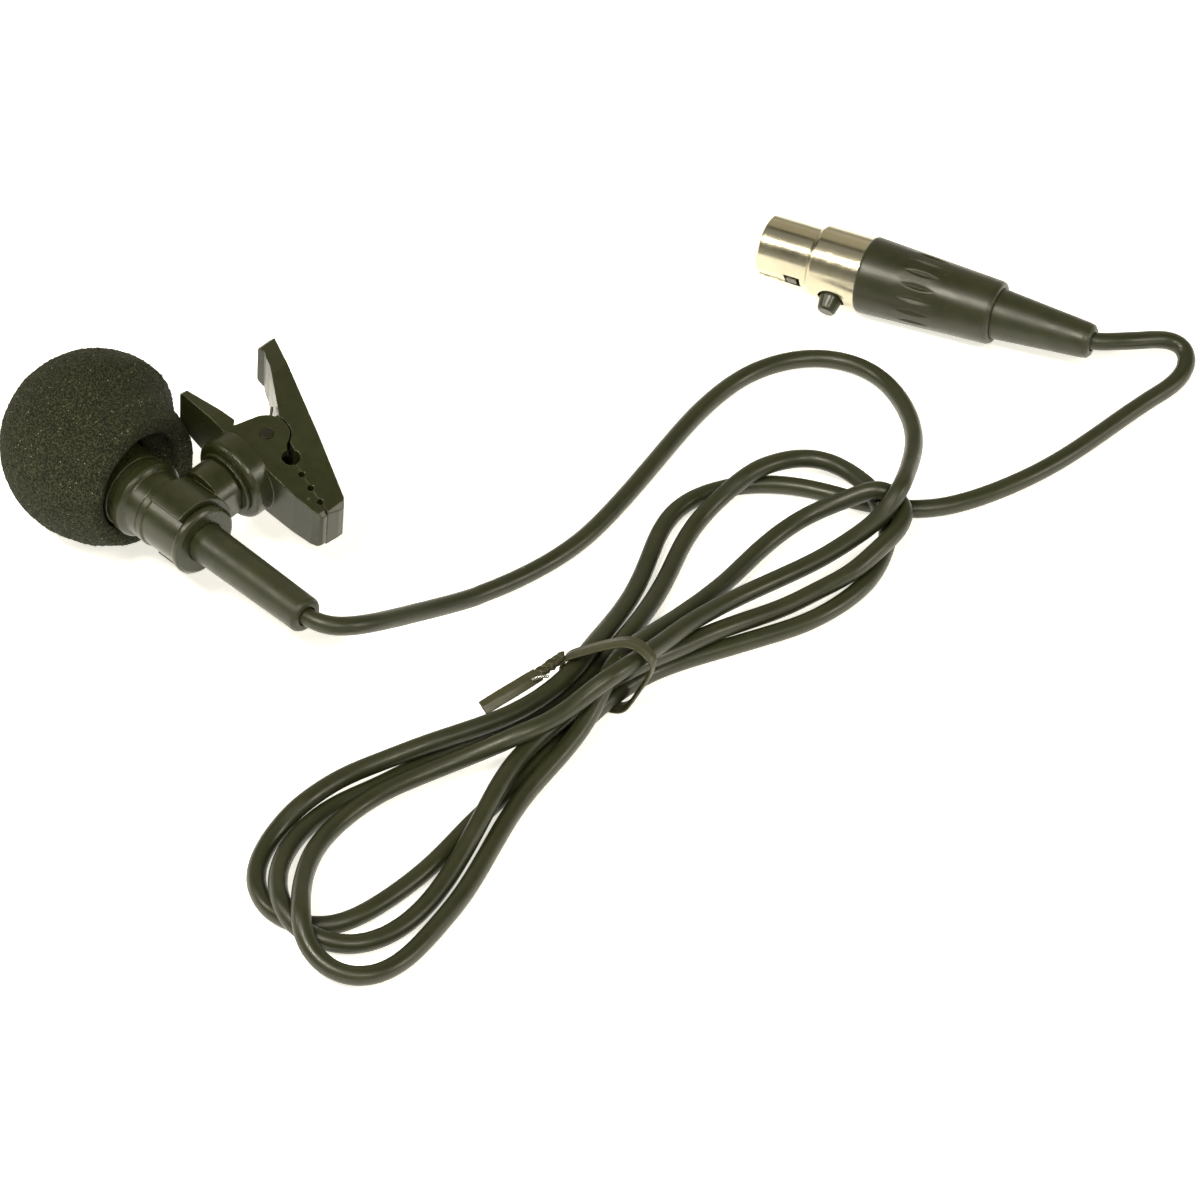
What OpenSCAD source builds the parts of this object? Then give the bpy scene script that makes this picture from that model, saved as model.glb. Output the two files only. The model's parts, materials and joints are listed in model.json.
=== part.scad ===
// Clip-on lapel microphone: foam windscreen, turning spring clip, bundled
// cord with a wire tie, and a locking miniature cable plug.
// Everything lies on a flat surface at z = 0. The microphone points along -X.

/* [Foam windscreen] */
// Radius of the foam ball
foam_r = 11.8; // [10:0.1:13]
// How far the foam stretches towards its mouth
foam_tail = 13.5; // [12:0.1:15]
// Radius of the bore that grips the capsule head
foam_bore_r = 5.4; // [5.3:0.1:6]

/* [Microphone body] */
// Radius of the perforated front cap
cap_r = 4.9; // [4.7:0.05:5]
// Radius of the flange that the foam stops against
flange_r = 5.1; // [5:0.05:5.3]
// Radius of the seat that the clamp ring turns on
seat_r = 4.3; // [4.2:0.05:4.4]
// Radius of the rim behind the clamp ring
rim_r = 4.65; // [4.5:0.05:4.8]
// Length of the body from the flange to the rear face
body_l = 11; // [11:0.5:14]

/* [Strain relief] */
// Radius where the strain relief leaves the body
relief_r1 = 2.6; // [2.3:0.1:3]
// Radius at its free end
relief_r2 = 2.35; // [2:0.05:2.6]
// Distance from the flange to its free end
relief_end = 30.4; // [26:0.2:34]

/* [Clip] */
// Outer radius of the clamp ring
ring_r = 5.35; // [5.2:0.05:5.6]
// Width of the clamp ring along the microphone
ring_w = 5.4; // [5:0.1:5.5]
// Distance from the microphone's axis to the jaw's back
jaw_q = 11.3; // [11:0.1:12]
// Half width of the jaws at the pivot
jaw_hw = 4.1; // [4:0.1:4.5]
// Half width of the jaws at their tips
tip_hw = 3.3; // [2.8:0.1:3.6]
// Radius of the pivot pin
pin_r = 0.85; // [0.7:0.05:1]
// Tilt of the swivel axis above the table, in degrees
roll_deg = 4; // [0:1:10]
// Dip of the jaw tips below the microphone's axis, in degrees
dip_deg = 10; // [0:1:14]

/* [Cord] */
// Diameter of the cord
cord_d = 2.35; // [2.2:0.05:2.6]
// Height of the bundle
hank_h = 5.2; // [4.6:0.1:7]

/* [Plug] */
// Radius of the nose
nose_r = 4.15; // [4:0.05:4.3]
// Length of the nose
nose_l = 7.1; // [6:0.1:8]
// Radius of the barrel
barrel_r = 4.9; // [4.8:0.05:5]
// Radius of the rear shell at its front edge
shell_r = 5.2; // [5.1:0.05:5.4]
// Distance from the nose's tip to the rear shell
shell_x0 = 14.4; // [14:0.1:15]
// Distance from the nose's tip to the end of the rear shell
shell_x1 = 33; // [31:0.5:35]
// Distance from the nose's tip to the end of the strain relief
plug_l = 46.2; // [44:0.2:50]
// Number of grip flutes round the rear shell
flutes = 16; // [12:1:18]
// Number of socket contacts
contacts = 4; // [3:1:5]
// Turn of the latch below the horizontal, in degrees
latch_deg = 28; // [0:1:40]

/* [Hidden] */
$fn = 64;

// The whole model is moved so that the microphone with its clip is centred.
shift = [-4.8, -7.1, 0];
mic_z = foam_r;
clamp_x = 7.9;              // swivel axis, measured from the flange
piv = [-1.6, 15.1];         // pivot in the clip's own frame
swivel_p = 1.5;             // the swivel axis lies this far from the frame's origin
cr = cord_d / 2;

black = [0.13, 0.13, 0.10];
dark = [0.17, 0.17, 0.13];
nickel = [0.72, 0.69, 0.62];
steel = [0.6, 0.6, 0.58];

// ---------- frames ----------
module mic_frame() { translate(shift + [0, 0, mic_z]) children(); }
// turns z-built rounds so that they run along +X
module along_x() { rotate([90, 0, 90]) children(); }
// clip frame: X towards the jaw tips, Y away from the microphone, Z across
module clip_frame() {
    mic_frame() translate([clamp_x, 0, 0]) rotate([roll_deg, 0, 0])
        rotate([0, dip_deg, 0]) children();
}
// clamp frame: same as the clip's, but not dipped
module clamp_frame() { mic_frame() rotate([roll_deg, 0, 0]) children(); }
// plug frame: X from the nose's tip to the cord
plug_at = [15.8, 95.7, shell_r];
plug_dir = 19.8;
module plug_frame() { translate(shift + plug_at) rotate([0, 0, plug_dir]) children(); }
// latch frame: Z points out through the latch window
module latch_frame() { plug_frame() rotate([90 + latch_deg, 0, 0]) children(); }
// a round turned from [x, r] corners, running along +X
module turned(p) {
    along_x() rotate_extrude() polygon([for (q = p) [q[1], q[0]]]);
}
module disc_x(x0, x1, r) { translate([x0, 0, 0]) along_x() cylinder(r = r, h = x1 - x0); }

// ---------- foam ----------
foam_c = -9;
function foam_arc(n) = [for (i = [0 : n])
    let (a = 180 - i * 128 / n)
    [foam_c + (a > 90 ? foam_r : foam_tail) * cos(a), foam_r * sin(a)]];
module foam_windscreen() {
    color(dark) mic_frame()
        turned(concat(
            [[-11.8, 0]], [[foam_c - foam_r, 0]],
            [for (i = [1 : 16]) foam_arc(16)[i]],
            [[0.2, 8.4], [0.8, 7.4], [1.0, 6.6], [0.7, 5.8], [0, foam_bore_r],
             [-11.8, foam_bore_r]]));
}

// ---------- microphone ----------
module capsule_cap() {
    color(black) mic_frame() difference() {
        turned([[-11.2, 0], [-11.2, cap_r - 0.5], [-10.9, cap_r - 0.15], [-10.6, cap_r],
                [-1, cap_r], [-1, cap_r - 0.3], [-10.4, cap_r - 0.3], [-10.4, 0]]);
        for (k = [0 : 5]) rotate([k * 60, 0, 0]) {
            translate([0, 1.4, 0]) disc_x(-12, -10, 0.4);
            translate([0, 2.8, 0]) disc_x(-12, -10, 0.4);
        }
        disc_x(-12, -10, 0.4);
    }
}
module acoustic_cloth() { color("dimgray") mic_frame() disc_x(-10.35, -10.15, 4.3); }
module electret_capsule() { color("silver") mic_frame() disc_x(-10.1, -7.4, 3); }
module capsule_gasket() {
    color("darkslategray") mic_frame()
        turned([[-10.1, 3.05], [-10.1, 4.1], [-7.6, 4.1], [-7.6, 3.05]]);
}
module capsule_board() { color("darkgreen") mic_frame() disc_x(-7.4, -6.8, 2.8); }
module capsule_wires() {
    color("firebrick") mic_frame() for (s = [-1, 1])
        translate([0, s * 0.7, 0]) disc_x(-6.8, 8.6, 0.35);
}
module front_housing() {
    color(black) mic_frame() turned([[-10.1, 4.15], [-10.1, 4.55], [0, 4.55],
        [0, flange_r - 0.2], [0.2, flange_r], [1.3, flange_r], [1.6, flange_r - 0.3],
        [1.8, 4.45], [3.9, 4.45], [3.9, 3.6], [-7.4, 3.6], [-7.4, 4.15]]);
}
module rear_housing() {
    color(black) mic_frame() turned([[3.95, 3.4], [3.95, 4.5], [4.9, 4.5], [4.95, seat_r],
        [body_l - 0.25, seat_r], [body_l - 0.2, rim_r - 0.1], [body_l + 0.1, rim_r],
        [body_l + 0.6, rim_r], [body_l + 0.9, rim_r - 0.4],
        [body_l + 0.9, relief_r1 + 0.05], [9.8, relief_r1 + 0.05], [9.8, 3.4]]);
}
module mic_strain_relief() {
    color(dark) mic_frame() turned([[8.7, 1.3], [8.7, 3.3], [9.7, 3.3], [9.7, relief_r1],
        [relief_end - 0.5, relief_r2], [relief_end - 0.1, relief_r2 - 0.25],
        [relief_end, relief_r2 - 0.6], [relief_end, cr + 0.12],
        [relief_end - 3, cr + 0.12], [relief_end - 3, 0.8], [12, 0.8], [11, 1.3]]);
}

// ---------- clamp ----------
// swivel axis inside the clamp's frame, its Z away from the microphone
module swivel() {
    translate([clamp_x, 0, 0]) rotate([0, dip_deg, 0]) translate([-swivel_p, 0, 0])
        rotate([-90, 0, 0]) children();
}
module clamp_ring() {
    color(black) clamp_frame() difference() {
        union() {
            translate([clamp_x - ring_w / 2, 0, 0]) along_x() difference() {
                cylinder(r = ring_r, h = ring_w);
                translate([0, 0, -1]) cylinder(r = seat_r + 0.06, h = ring_w + 2);
                // mouth of the C, away from the block
                translate([0, 0, -1]) linear_extrude(ring_w + 2)
                    polygon([[0, 0], [-12, 22.6], [-30, 0], [-12, -22.6]]);
            }
            // block that carries the swivel
            difference() {
                swivel() intersection() {
                    translate([-3.2, -3.9, 4.6]) cube([6.4, 7.8, 3.4]);
                    translate([0, 0, 4.6]) rotate_extrude() polygon([[0, 0], [3.9, 0],
                        [3.9, 3.0], [3.75, 3.3], [3.5, 3.4], [0, 3.4]]);
                }
                translate([clamp_x - 5, 0, 0]) along_x() cylinder(r = seat_r + 0.06, h = 10);
            }
        }
        swivel() {
            translate([0, 0, 3]) cylinder(r = 2.2, h = 3.4);
            cylinder(r = 1.25, h = 12);
        }
    }
}
module swivel_washer() {
    color("gray") clamp_frame() swivel() difference() {
        translate([0, 0, 8.05]) cylinder(r = 4.3, h = 0.5);
        translate([0, 0, 8]) cylinder(r = 1.35, h = 1);
    }
}
module swivel_rivet() {
    color(steel) clamp_frame() swivel() {
        translate([0, 0, 5.5]) cylinder(r = 1.9, h = 0.85);
        translate([0, 0, 6.3]) cylinder(r = 1.2, h = 5.7);
    }
}

// ---------- jaws ----------
function seam_q(p) = 12.8 + (12 - p) * 0.22;
function back_q(p) = 15.75 + (12 - p) * 0.44;
module plate(pts, hw) { translate([0, 0, -hw]) linear_extrude(2 * hw) polygon(pts); }
// plan outline that narrows the jaws to their tips and rounds the handles
module plan(e, t = 0) {
    rotate([-90, 0, 0]) linear_extrude(40) polygon([
        [-e, -2.6], [-e + 0.6, -3.3], [-8, -jaw_hw], [3, -jaw_hw], [11.4 + t, -tip_hw],
        [12 + t, -tip_hw + 0.6], [12 + t, tip_hw - 0.6], [11.4 + t, tip_hw], [3, jaw_hw],
        [-8, jaw_hw], [-e + 0.6, 3.3], [-e, 2.6]]);
}
module teeth() {
    for (p = [5.8, 8.0, 10.2]) translate([p, seam_q(p), -6]) cylinder(r = 0.42, h = 12, $fn = 32);
    translate([3.1, 14.9, -6]) cylinder(r = 1.2, h = 12, $fn = 48);
}
module lower_jaw() {
    color(black) clip_frame() difference() {
        union() {
            intersection() {
                union() {
                    plate([[-14.2, 12.1], [-13.9, 11.9], [-7, 11.5], [-5, jaw_q],
                        [7.5, jaw_q], [10.5, 11.55], [11.7, 11.9], [12, 12.2], [12, seam_q(12) - 0.03],
                        [4.3, seam_q(4.3) - 0.03], [2.4, 14.2], [2.2, 12.5], [-5, 12.5],
                        [-5.8, 13.6], [-13.6, 12.75], [-14.2, 12.5]], 6);
                    // cheeks round the pivot
                    for (s = [-1, 1]) translate([0, 0, s * 3.55 - 0.55])
                        linear_extrude(1.1) union() {
                            translate(piv) circle(r = 2.9);
                            polygon([[-5.4, 12.2], [-4.35, 16], [-1.6, 15.1],
                                [1.2, 15.9], [3.4, 14.1], [3.4, 12.2]]);
                        }
                }
                plan(14.2);
            }
            // boss that the rivet holds
            translate([-swivel_p, 0, 0]) rotate([-90, 0, 0]) translate([0, 0, 8.6])
                rotate_extrude() polygon([[0, 0], [4.75, 0], [5.15, 0.12], [5.4, 0.4],
                    [5.5, 0.8], [5.5, 3.0], [0, 3.0]]);
        }
        translate([0, 0, -6]) teeth();
        teeth();
        translate([piv[0], piv[1], -6]) cylinder(r = pin_r + 0.01, h = 12);
        translate([-swivel_p, 0, 0]) rotate([-90, 0, 0]) cylinder(r = 1.21, h = 12.02);
        // keeps the strap clear of the upper cheeks
        translate([piv[0], piv[1], -2.95]) cylinder(r = 2.58, h = 5.9);
    }
}
module upper_jaw() {
    color(black) clip_frame() difference() {
        union() {
            intersection() {
                difference() {
                    plate([[-11.6, 24.0], [-12.9, 24.0], [-13.2, 24.5], [-13.1, 26.2], [-12.6, back_q(-12.6)],
                        [11.6, back_q(11.6)], [12.4, 15.2], [12.4, 14.4], [12, seam_q(12) + 0.03],
                        [4.3, seam_q(4.3) + 0.03], [2.4, 16], [-1.6, 17.5], [-4.1, 19.2],
                        [-9.5, 22.9], [-10.8, 23.5]], 6);
                    translate([piv[0], piv[1], -6]) cylinder(r = 3.1, h = 12);
                }
                plan(13.2, 0.4);
            }
            // cheeks inside those of the lower jaw
            for (s = [-1, 1]) translate([0, 0, s * 2.25 - 0.5]) linear_extrude(1.0) union() {
                translate(piv) circle(r = 2.35);
                polygon([[-3.8, 15.8], [-3.6, 18.9], [0.8, 18.9], [0.6, 15.6]]);
            }
        }
        teeth();
        translate([piv[0], piv[1], -6]) cylinder(r = pin_r + 0.05, h = 12);
    }
}
module pivot_pin() {
    color(steel) clip_frame() translate([piv[0], piv[1], -4.25]) cylinder(r = pin_r, h = 8.5);
}
module spring_ring(z) {
    translate([0, 0, z]) rotate_extrude() translate([1.32, 0]) circle(r = 0.2, $fn = 16);
}
module jaw_spring() {
    color(steel) clip_frame() translate([piv[0], piv[1], 0]) {
        for (z = [-0.9 : 0.36 : 0.95]) spring_ring(z);
        // leg that bears on the lower handle
        translate([0, -1.32, -0.9]) rotate([0, -90, 0]) rotate([-8, 0, 0])
            cylinder(r = 0.2, h = 4.2, $fn = 16);
    }
}
module jaw_spring_leg() {
    // leg that bears on the upper handle
    color(steel) clip_frame() translate([piv[0], piv[1], 1.3])
        rotate([0, 0, 131]) translate([1.32, 0, 0]) rotate([0, 90, 0])
            cylinder(r = 0.2, h = 5.0, $fn = 16);
}

// ---------- cord ----------
zt = cr + 0.10;             // height of a cord that lies on the surface
mic_lead = [[27.4, 0, mic_z], [30.6, 0, mic_z], [33, 0.7, 11.6], [34.6, 3.4, 10.9],
    [35, 7.6, 9], [34.8, 12.6, 6.6], [34.7, 18, 4.2], [35, 24, 2.2], [35.4, 31, zt],
    [35.8, 39, zt], [35.2, 46, zt], [33.6, 53, zt], [31.6, 60, zt],
    [29.8, 67, zt], [29.2, 73.5, zt], [30, 80, zt], [33.2, 86.6, zt], [39.2, 90, zt],
    [45, 89.2, zt]];
plug_lead = [[58.5, 71.4, zt], [61.6, 74.2, zt], [63.8, 77.2, zt], [65.4, 81, zt],
    [66.9, 86, zt], [68.2, 92, zt], [68.9, 99, zt], [69.3, 106, zt], [69.7, 112, zt],
    [69.7, 116.6, 1.3], [68.4, 120, 1.7], [65.8, 121.6, 2.4], [63.4, 120.2, 3.2],
    [62.3, 116.8, 4.2], [61.6, 113.6, 4.9], [59.3, 111.5, shell_r], [56.45, 110.33, shell_r]];
// smooth curve through the points, k steps to a span
function cr_pt(p, i, t) =
    let (n = len(p), a = p[max(0, i - 1)], b = p[i], c = p[i + 1], d = p[min(n - 1, i + 2)])
    0.5 * ((2 * b) + (c - a) * t + (2 * a - 5 * b + 4 * c - d) * t * t
        + (3 * b - a - 3 * c + d) * t * t * t);
function smooth(p, k) = concat([for (i = [0 : len(p) - 2]) for (j = [0 : k - 1])
    cr_pt(p, i, j / k)], [p[len(p) - 1]]);
function unit(v) = v / norm(v);
module sweep(q, r, sides = 8) {
    n = len(q);
    t = [for (i = [0 : n - 1]) unit(q[min(i + 1, n - 1)] - q[max(i - 1, 0)])];
    pts = [for (i = [0 : n - 1])
        let (u = unit(cross([0, 0, 1], t[i])), v = cross(t[i], u))
        for (k = [0 : sides - 1]) let (a = (k + 0.5) * 360 / sides)
            q[i] + r / cos(180 / sides) * 0.98 * (cos(a) * u + sin(a) * v)];
    faces = concat([[for (k = [0 : sides - 1]) k]],
        [for (i = [0 : n - 2]) for (k = [0 : sides - 1])
            [i * sides + k, (i + 1) * sides + k, (i + 1) * sides + (k + 1) % sides,
             i * sides + (k + 1) % sides]],
        [[for (k = [sides - 1 : -1 : 0]) (n - 1) * sides + k]]);
    polyhedron(points = pts, faces = faces, convexity = 10);
}
module cord_mic_lead() { color(dark) translate(shift) sweep(smooth(mic_lead, 2), cr); }
module cord_plug_lead() { color(dark) translate(shift) sweep(smooth(plug_lead, 2), cr); }
// outline of the bundle: a narrow waist at the tie and a lobe on each side
module dots(list, r) { for (q = list) translate(q) circle(r = r, $fn = 24); }
module hank_outline() {
    // lobe beside the plug
    hull() dots([[41, 55], [43, 66], [47, 88], [53, 83.5], [57, 79], [60.5, 71],
        [65.6, 64], [66.4, 57], [60, 36], [53, 36]], 1.8);
    // waist under the tie
    hull() dots([[53, 36], [60, 36], [59.4, 22], [53.4, 22]], 1.8);
    // lobe on the near side
    hull() dots([[53.4, 22], [59.4, 22], [70.4, -18], [70.6, -25], [66, -28.6],
        [57, -28.6], [48.5, -22], [46.6, -14], [46.8, -7]], 1.8);
}
module cord_hank() {
    color(dark) translate(shift + [0, 0, 0.02]) linear_extrude(hank_h) hank_outline();
}
module tie_ribbon() {
    color(dark) translate(shift) {
        // loose band round the waist of the bundle
        translate([56.4, 27.5, 0]) difference() {
            translate([-5.9, -0.8, 0.02]) cube([11.8, 1.6, hank_h + 0.7]);
            translate([-5.5, -3, -0.2]) cube([11, 6, hank_h + 0.32]);
        }
        // twisted knot and flat tail
        translate([49.2, 24.4, hank_h + 0.1]) cube([1.9, 3.9, 0.9]);
        translate([49.3, 11.6, hank_h + 0.1]) cube([1.6, 12.9, 0.5]);
    }
}
module tie_wire() {
    color("silver") translate(shift + [51.2, 22.2, hank_h + 0.7])
        rotate([0, 90, 60]) cylinder(r = 0.2, h = 2.4, $fn = 16);
}

// ---------- plug ----------
module plug_barrel() {
    color(nickel) difference() {
        plug_frame() turned([[0, nose_r - 0.55], [0, nose_r - 0.15], [0.2, nose_r],
            [nose_l, nose_r], [nose_l + 0.5, barrel_r - 0.1], [nose_l + 0.8, barrel_r],
            [shell_x0 - 0.05, barrel_r], [shell_x0 - 0.05, 4.5], [20, 4.5], [20, 4.1],
            [nose_l + 0.8, 4.1], [nose_l, nose_r - 0.55]]);
        latch_frame() {
            // key groove from the tip to the window
            translate([-1, -1.1, 3.85]) cube([5, 2.2, 1]);
            // window for the hook
            translate([3.9, -1.35, 2.5]) cube([2.4, 2.7, 4]);
            // hole for the button
            translate([11, 0, 2.5]) cylinder(r = 1.85, h = 4);
        }
    }
}
module contact_insert() {
    color([0.09, 0.09, 0.08]) difference() {
        plug_frame() disc_x(0.7, 13.5, 3.5);
        plug_frame() for (k = [0 : contacts - 1]) rotate([253 + k * 360 / contacts, 0, 0])
            translate([0, 1.75, 0]) disc_x(0, 14, 0.62);
        // channel for the latch
        latch_frame() translate([1.6, -1.8, 1.9]) cube([13, 3.6, 4]);
    }
}
module socket_contacts() {
    color("gold") plug_frame() for (k = [0 : contacts - 1])
        rotate([253 + k * 360 / contacts, 0, 0]) translate([0, 1.75, 0]) difference() {
            disc_x(1.1, 16.5, 0.6);
            disc_x(0, 8, 0.4);
        }
}
latch_piv = 18.6;
module latch_lever() {
    // sprung leaf: its hook closes the key groove, level with the nose at rest
    // and sunk when the button is pressed; it rocks on its round tail
    color(steel) latch_frame() difference() {
        union() {
            translate([3, -1.1, 2.85]) cube([15.6, 2.2, 0.4]);
            translate([4.3, -0.7, 2.85]) cube([1.4, 1.4, 1.13]);
            translate([latch_piv, 1.1, 2.9]) rotate([90, 0, 0]) cylinder(r = 0.6, h = 2.2);
        }
        translate([11, 0, 2]) cylinder(r = 0.6, h = 2);
    }
}
module latch_button() {
    color(black) latch_frame() {
        translate([11, 0, 3.25]) cylinder(r = 1.55, h = 1.55);
        translate([11, 0, 4.8]) cylinder(r1 = 1.55, r2 = 1.25, h = 1.7);
        translate([11, 0, 6.5]) cylinder(r1 = 1.25, r2 = 1.05, h = 0.25);
        translate([11, 0, 2.85]) cylinder(r = 0.58, h = 0.5);
    }
}
module cord_chuck() {
    color(steel) plug_frame() turned([[22, cr + 0.12], [22, 3.6], [23, 3.9], [28, 3.6],
        [29.4, 2.8], [29.4, cr + 0.12]]);
}
module flute() {
    // wheel with a sharp rim: it cuts a leaf-shaped recess
    rotate([90, 0, 0]) rotate_extrude()
        polygon([[7, -1.5], [9.05, -1.5], [10, 0], [9.05, 1.5], [7, 1.5]]);
}
module rear_shell() {
    color(black) plug_frame() difference() {
        turned([[shell_x0, 4.95], [shell_x0, shell_r - 0.1], [shell_x0 + 0.3, shell_r],
            [shell_x1 - 0.6, 4.3], [shell_x1 - 0.15, 4.1], [shell_x1, 3.8],
            [shell_x1, 3.45], [29.6, 3.45], [27, 3.95], [20.05, 4.2],
            [20.05, 4.55], [shell_x0 + 0.4, 4.55], [shell_x0 + 0.4, 4.95]]);
        for (k = [0 : flutes - 1]) rotate([k * 360 / flutes, 0, 0])
            translate([22.4, 0, 0]) rotate([0, 2.9, 0]) translate([0, 0, 14.5]) flute();
    }
}
module plug_strain_relief() {
    color(dark) plug_frame() turned([[29.6, 0.8], [29.6, 3.35], [shell_x1 + 0.02, 3.4],
        [plug_l - 1, 2.4], [plug_l - 0.3, 2.25], [plug_l, 1.9], [plug_l, cr + 0.12],
        [plug_l - 3, cr + 0.12], [plug_l - 3, 0.8]]);
}

foam_windscreen();
capsule_cap();
acoustic_cloth();
electret_capsule();
capsule_gasket();
capsule_board();
capsule_wires();
front_housing();
rear_housing();
mic_strain_relief();
clamp_ring();
swivel_washer();
swivel_rivet();
lower_jaw();
upper_jaw();
pivot_pin();
jaw_spring();
jaw_spring_leg();
cord_mic_lead();
cord_hank();
cord_plug_lead();
tie_ribbon();
tie_wire();
plug_barrel();
contact_insert();
socket_contacts();
latch_lever();
latch_button();
cord_chuck();
rear_shell();
plug_strain_relief();
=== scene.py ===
import json
import math
import bpy
import bmesh
import numpy as np
from mathutils import Vector, Matrix, noise


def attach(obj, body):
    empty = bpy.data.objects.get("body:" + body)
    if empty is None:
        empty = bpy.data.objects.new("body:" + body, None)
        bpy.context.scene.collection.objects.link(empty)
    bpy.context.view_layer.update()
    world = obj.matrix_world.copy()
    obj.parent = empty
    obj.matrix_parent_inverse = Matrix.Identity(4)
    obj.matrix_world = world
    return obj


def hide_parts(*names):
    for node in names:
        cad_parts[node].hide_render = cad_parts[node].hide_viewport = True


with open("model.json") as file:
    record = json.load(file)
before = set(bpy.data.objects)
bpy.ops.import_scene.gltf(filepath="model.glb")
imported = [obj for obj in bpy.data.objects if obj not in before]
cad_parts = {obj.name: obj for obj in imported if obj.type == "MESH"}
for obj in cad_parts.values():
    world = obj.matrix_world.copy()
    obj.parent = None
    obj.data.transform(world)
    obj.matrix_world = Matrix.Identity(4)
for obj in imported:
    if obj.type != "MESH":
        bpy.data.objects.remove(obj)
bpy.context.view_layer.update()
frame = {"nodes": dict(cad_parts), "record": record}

scene = bpy.context.scene
MM = 0.001
SHIFT = np.array([-4.8, -7.1, 0.0])      # as in the CAD source: the whole layout is moved by this
NODES = frame["nodes"]


# ------------------------------------------------------------------ camera
def make_camera():
    data = bpy.data.cameras.new("camera")
    data.lens = 144.72
    data.sensor_width = 36
    data.clip_start, data.clip_end = 0.01, 20
    cam = bpy.data.objects.new("camera", data)
    scene.collection.objects.link(cam)
    cam.location = (0.345961, -0.275595, 0.416795)
    cam.rotation_euler = (math.radians(46), 0, math.radians(45.1936))
    scene.camera = cam


make_camera()


# ------------------------------------------------------------------ cord route
# Plan points in mm in the layout's own frame: x, y, rank (0 lies on top) and, where it hangs
# free or is held, its height.
D = 2.35
R = D / 2
MIC = [[27.4,0,0,11.8],[30.6,0,0,11.8],[33.0,0.7,0,11.6],[34.6,3.4,0,10.9],[35.0,7.6,0,9.0],[34.8,12.6,0,6.6],[34.7,18.0,0,4.2],[35.0,24.0,0,2.2]]
S1 = [[35.7,30.9],[36.3,39.5],[34.4,49.8],[31.7,60.0],[29.4,69.4],[29.2,80.2],[33.2,87.5],[39.5,90.3],[47.5,88.2],[52.9,84.2],[56.0,79.3],[57.4,75.7],[59.8,70.5],[59.8,65.8],[59.6,59.4],[58.8,55.4],[57.2,48.0],[56.2,41.9],[56.6,34.5]]
L3 = [[57.2,21.1],[56.1,15.0],[54.6,9.4],[51.8,-1.2],[50.4,-6.6],[50.4,-13.2],[51.5,-18.7],[55.1,-23.7],[58.3,-27.0],[62.3,-29.4],[66.1,-30.4],[70.0,-29.4],[71.9,-26.5],[71.8,-21.9],[70.5,-16.1],[69.6,-12.2],[66.9,-5.6],[62.6,5.3,0.5],[61.2,12.5,0.8],[59.1,24.0,1.0]]
CD = [[54.3,32.2,1.0],[54.5,37.1],[54.4,43.2],[54.3,47.8],[53.2,54.1],[52.7,60.3],[53.1,65.8],[54.7,70.2],[55.7,73.9],[58.2,75.2],[60.6,74.5],[62.0,72.6],[63.1,69.8],[63.2,66.3],[64.3,60.0],[63.1,55.5],[62.8,50.9],[60.4,44.3],[58.8,36.6,1.4],[58.1,31.8,1.8]]
T2 = [[57.6,23.0,2.2],[57.2,16.0],[57.3,10.8],[58.2,7.3],[60.7,1.2],[63.5,-4.8],[66.5,-12.0],[68.0,-18.1],[67.8,-22.7],[66.4,-26.1],[63.4,-27.8],[60.2,-28.5],[56.5,-27.7],[52.5,-25.7],[49.9,-22.2],[48.1,-17.5,4.0],[47.9,-12.7,6.0],[49.5,-7.0,6.0],[50.6,1.5,6.0],[52.9,9.5,6.0],[54.5,16.5,6.0],[54.9,24.0,6.0]]
BE = [[53.0,31.0,4.0],[49.2,42.0,3.0],[44.4,51.9],[42.9,58.5],[42.5,64.5],[43.4,69.2],[45.0,72.0],[47.7,73.6],[51.1,73.9],[54.8,73.3],[59.0,71.9],[62.5,69.2],[65.1,64.8],[66.8,60.3],[67.0,56.0],[66.2,49.4],[63.6,43.2],[61.5,36.5],[60.8,31.9]]
T1 = [[60.6,24.0],[59.7,14.0],[60.8,4.6],[61.7,-2.2],[63.4,-11.4],[63.5,-19.8],[62.4,-25.8],[58.7,-28.9],[54.6,-29.2],[50.0,-27.1],[47.2,-22.4],[45.4,-15.3],[45.2,-8.4],[46.7,-3.5],[48.1,1.6],[50.8,9.6],[52.2,17.3],[52.2,24.9,4.0]]
A = [[50.3,30.4],[47.7,38.3],[44.3,44.7],[41.2,50.3],[40.2,55.5],[41.6,59.5],[43.8,63.5],[47.5,66.7],[51.1,68.9],[54.9,70.2],[58.3,71.8],[61.7,74.3],[63.8,76.9],[65.2,79.8],[66.9,84.9],[68.4,92.3],[68.9,101.0],[68.9,108.3]]
PLUG = [[69.1,112.6,5,1.2],[69.2,116.9,5,1.3],[68.3,119.9,5,1.7],[65.9,121.8,5,2.4],[63.8,119.9,5,3.2],[62.6,116.6,5,4.2],[61.0,114.0,5,4.9],[59.3,111.4,5,5.2],[56.45,110.33,5,5.2]]
SEG = [(MIC, 0), (S1, 0), (L3, 0), (CD, 1), (T2, 2), (BE, 3), (T1, 4), (A, 5), (PLUG, 5)]


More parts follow.
